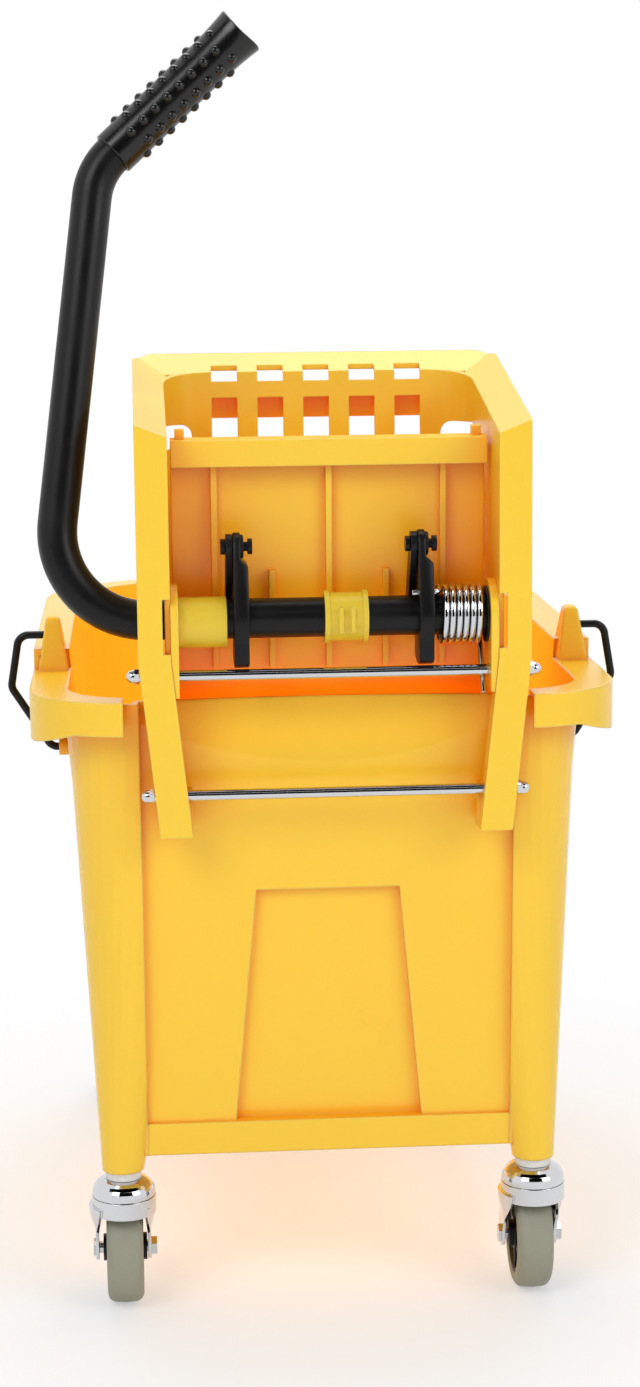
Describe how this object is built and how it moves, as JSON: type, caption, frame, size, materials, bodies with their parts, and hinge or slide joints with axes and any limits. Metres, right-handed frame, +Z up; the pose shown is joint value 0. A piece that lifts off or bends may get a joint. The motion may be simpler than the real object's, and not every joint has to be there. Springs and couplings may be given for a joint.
{
  "type": "mop bucket with side press wringer",
  "caption": "Wheeled yellow mop bucket with a side press wringer hung on one end: a bent lever turns a sprung shaft whose cranks push a hinged press plate.",
  "frame": {"origin": "on the floor under the middle of the bounding box", "axes": "+X right as seen from the wringer end, +Y from the wringer end to the far end, +Z up"},
  "size_m": [0.4206, 0.553, 0.8535],
  "materials": {
    "yellow_polypropylene": "moulded, faintly textured",
    "pale_nylon": "moulded, slightly translucent",
    "black_steel": "black powder coat",
    "black_rubber": "moulded, satin",
    "chromed_steel": "bright plated",
    "zinc_steel": "bright zinc plated",
    "white_nylon": "moulded",
    "black_hub": "moulded",
    "grey_tread": "soft non-marking tread"
  },
  "bodies": {
    "bucket": {"tub": "yellow_polypropylene", "side_handle_left": "black_steel", "side_handle_right": "black_steel", "caster_sleeve_near_left": "white_nylon", "caster_stem_near_left": "zinc_steel", "caster_cup_near_left": "zinc_steel", "caster_sleeve_near_right": "white_nylon", "caster_stem_near_right": "zinc_steel", "caster_cup_near_right": "zinc_steel", "caster_sleeve_far_left": "white_nylon", "caster_stem_far_left": "zinc_steel", "caster_cup_far_left": "zinc_steel", "caster_sleeve_far_right": "white_nylon", "caster_stem_far_right": "zinc_steel", "caster_cup_far_right": "zinc_steel"},
    "fork_near_left": {"caster_fork_near_left": "zinc_steel", "caster_axle_near_left": "zinc_steel"},
    "wheel_near_left": {"wheel_hub_near_left": "black_hub", "wheel_tyre_near_left": "grey_tread"},
    "fork_near_right": {"caster_fork_near_right": "zinc_steel", "caster_axle_near_right": "zinc_steel"},
    "wheel_near_right": {"wheel_hub_near_right": "black_hub", "wheel_tyre_near_right": "grey_tread"},
    "fork_far_left": {"caster_fork_far_left": "zinc_steel", "caster_axle_far_left": "zinc_steel"},
    "wheel_far_left": {"wheel_hub_far_left": "black_hub", "wheel_tyre_far_left": "grey_tread"},
    "fork_far_right": {"caster_fork_far_right": "zinc_steel", "caster_axle_far_right": "zinc_steel"},
    "wheel_far_right": {"wheel_hub_far_right": "black_hub", "wheel_tyre_far_right": "grey_tread"},
    "wringer": {"wringer_frame": "yellow_polypropylene", "bearing_bracket_left": "yellow_polypropylene", "bearing_bracket_right": "yellow_polypropylene", "shaft_bush": "pale_nylon", "upper_tie_rod": "chromed_steel", "lower_tie_rod": "chromed_steel", "dome_nuts": "chromed_steel", "plate_hinge_rod": "chromed_steel", "torsion_spring": "chromed_steel"},
    "handle": {"handle_tube": "black_steel", "hand_grip": "black_rubber", "crank_lever_left": "black_steel", "crank_lever_right": "black_steel", "crank_pins": "black_steel", "shaft_clip": "pale_nylon", "shaft_collar": "black_steel"},
    "link_left": {"link_left": "black_steel"},
    "link_right": {"link_right": "black_steel"},
    "press_plate": {"press_plate": "yellow_polypropylene", "plate_pins": "black_steel"}
  },
  "joints": [
    {"name": "swivel_near_left", "type": "hinge", "parent": "bucket", "child": "fork_near_left", "pos_m": [-0.138, -0.2255, 0.079], "axis": [0, 0, 1], "continuous": true},
    {"name": "roll_near_left", "type": "hinge", "parent": "fork_near_left", "child": "wheel_near_left", "pos_m": [-0.138, -0.2105, 0.037], "axis": [1, 0, 0], "continuous": true},
    {"name": "swivel_near_right", "type": "hinge", "parent": "bucket", "child": "fork_near_right", "pos_m": [0.138, -0.2255, 0.079], "axis": [0, 0, 1], "continuous": true},
    {"name": "roll_near_right", "type": "hinge", "parent": "fork_near_right", "child": "wheel_near_right", "pos_m": [0.138, -0.2105, 0.037], "axis": [1, 0, 0], "continuous": true},
    {"name": "swivel_far_left", "type": "hinge", "parent": "bucket", "child": "fork_far_left", "pos_m": [-0.138, 0.2245, 0.079], "axis": [0, 0, 1], "continuous": true},
    {"name": "roll_far_left", "type": "hinge", "parent": "fork_far_left", "child": "wheel_far_left", "pos_m": [-0.138, 0.2395, 0.037], "axis": [1, 0, 0], "continuous": true},
    {"name": "swivel_far_right", "type": "hinge", "parent": "bucket", "child": "fork_far_right", "pos_m": [0.138, 0.2245, 0.079], "axis": [0, 0, 1], "continuous": true},
    {"name": "roll_far_right", "type": "hinge", "parent": "fork_far_right", "child": "wheel_far_right", "pos_m": [0.138, 0.2395, 0.037], "axis": [1, 0, 0], "continuous": true},
    {"name": "wringer_lift", "type": "slide", "parent": "bucket", "child": "wringer", "axis": [0, 0, 1], "range_m": [0, 0.32]},
    {"name": "handle_press", "type": "hinge", "parent": "wringer", "child": "handle", "pos_m": [0.004, -0.2525, 0.471], "axis": [-1, 0, 0], "range_deg": [0, 43], "stiffness_Nm_per_rad": 1.2, "springref_deg": -57.3, "deforming": ["torsion_spring"]},
    {"name": "link_left_pivot", "type": "hinge", "parent": "handle", "child": "link_left", "pos_m": [0.004, -0.2525, 0.517], "axis": [-1, 0, 0], "range_deg": [-60, 2]},
    {"name": "link_right_pivot", "type": "hinge", "parent": "handle", "child": "link_right", "pos_m": [0.004, -0.2525, 0.517], "axis": [-1, 0, 0], "range_deg": [-60, 2]},
    {"name": "plate_swing", "type": "hinge", "parent": "wringer", "child": "press_plate", "pos_m": [0.004, -0.2125, 0.35], "axis": [-1, 0, 0], "range_deg": [0, 22]}
  ],
  "couplings": [
    {"joint": "link_left_pivot", "follows": "handle_press", "ratio": -1.36},
    {"joint": "link_right_pivot", "follows": "handle_press", "ratio": -1.36},
    {"joint": "plate_swing", "follows": "handle_press", "ratio": 0.48}
  ]
}
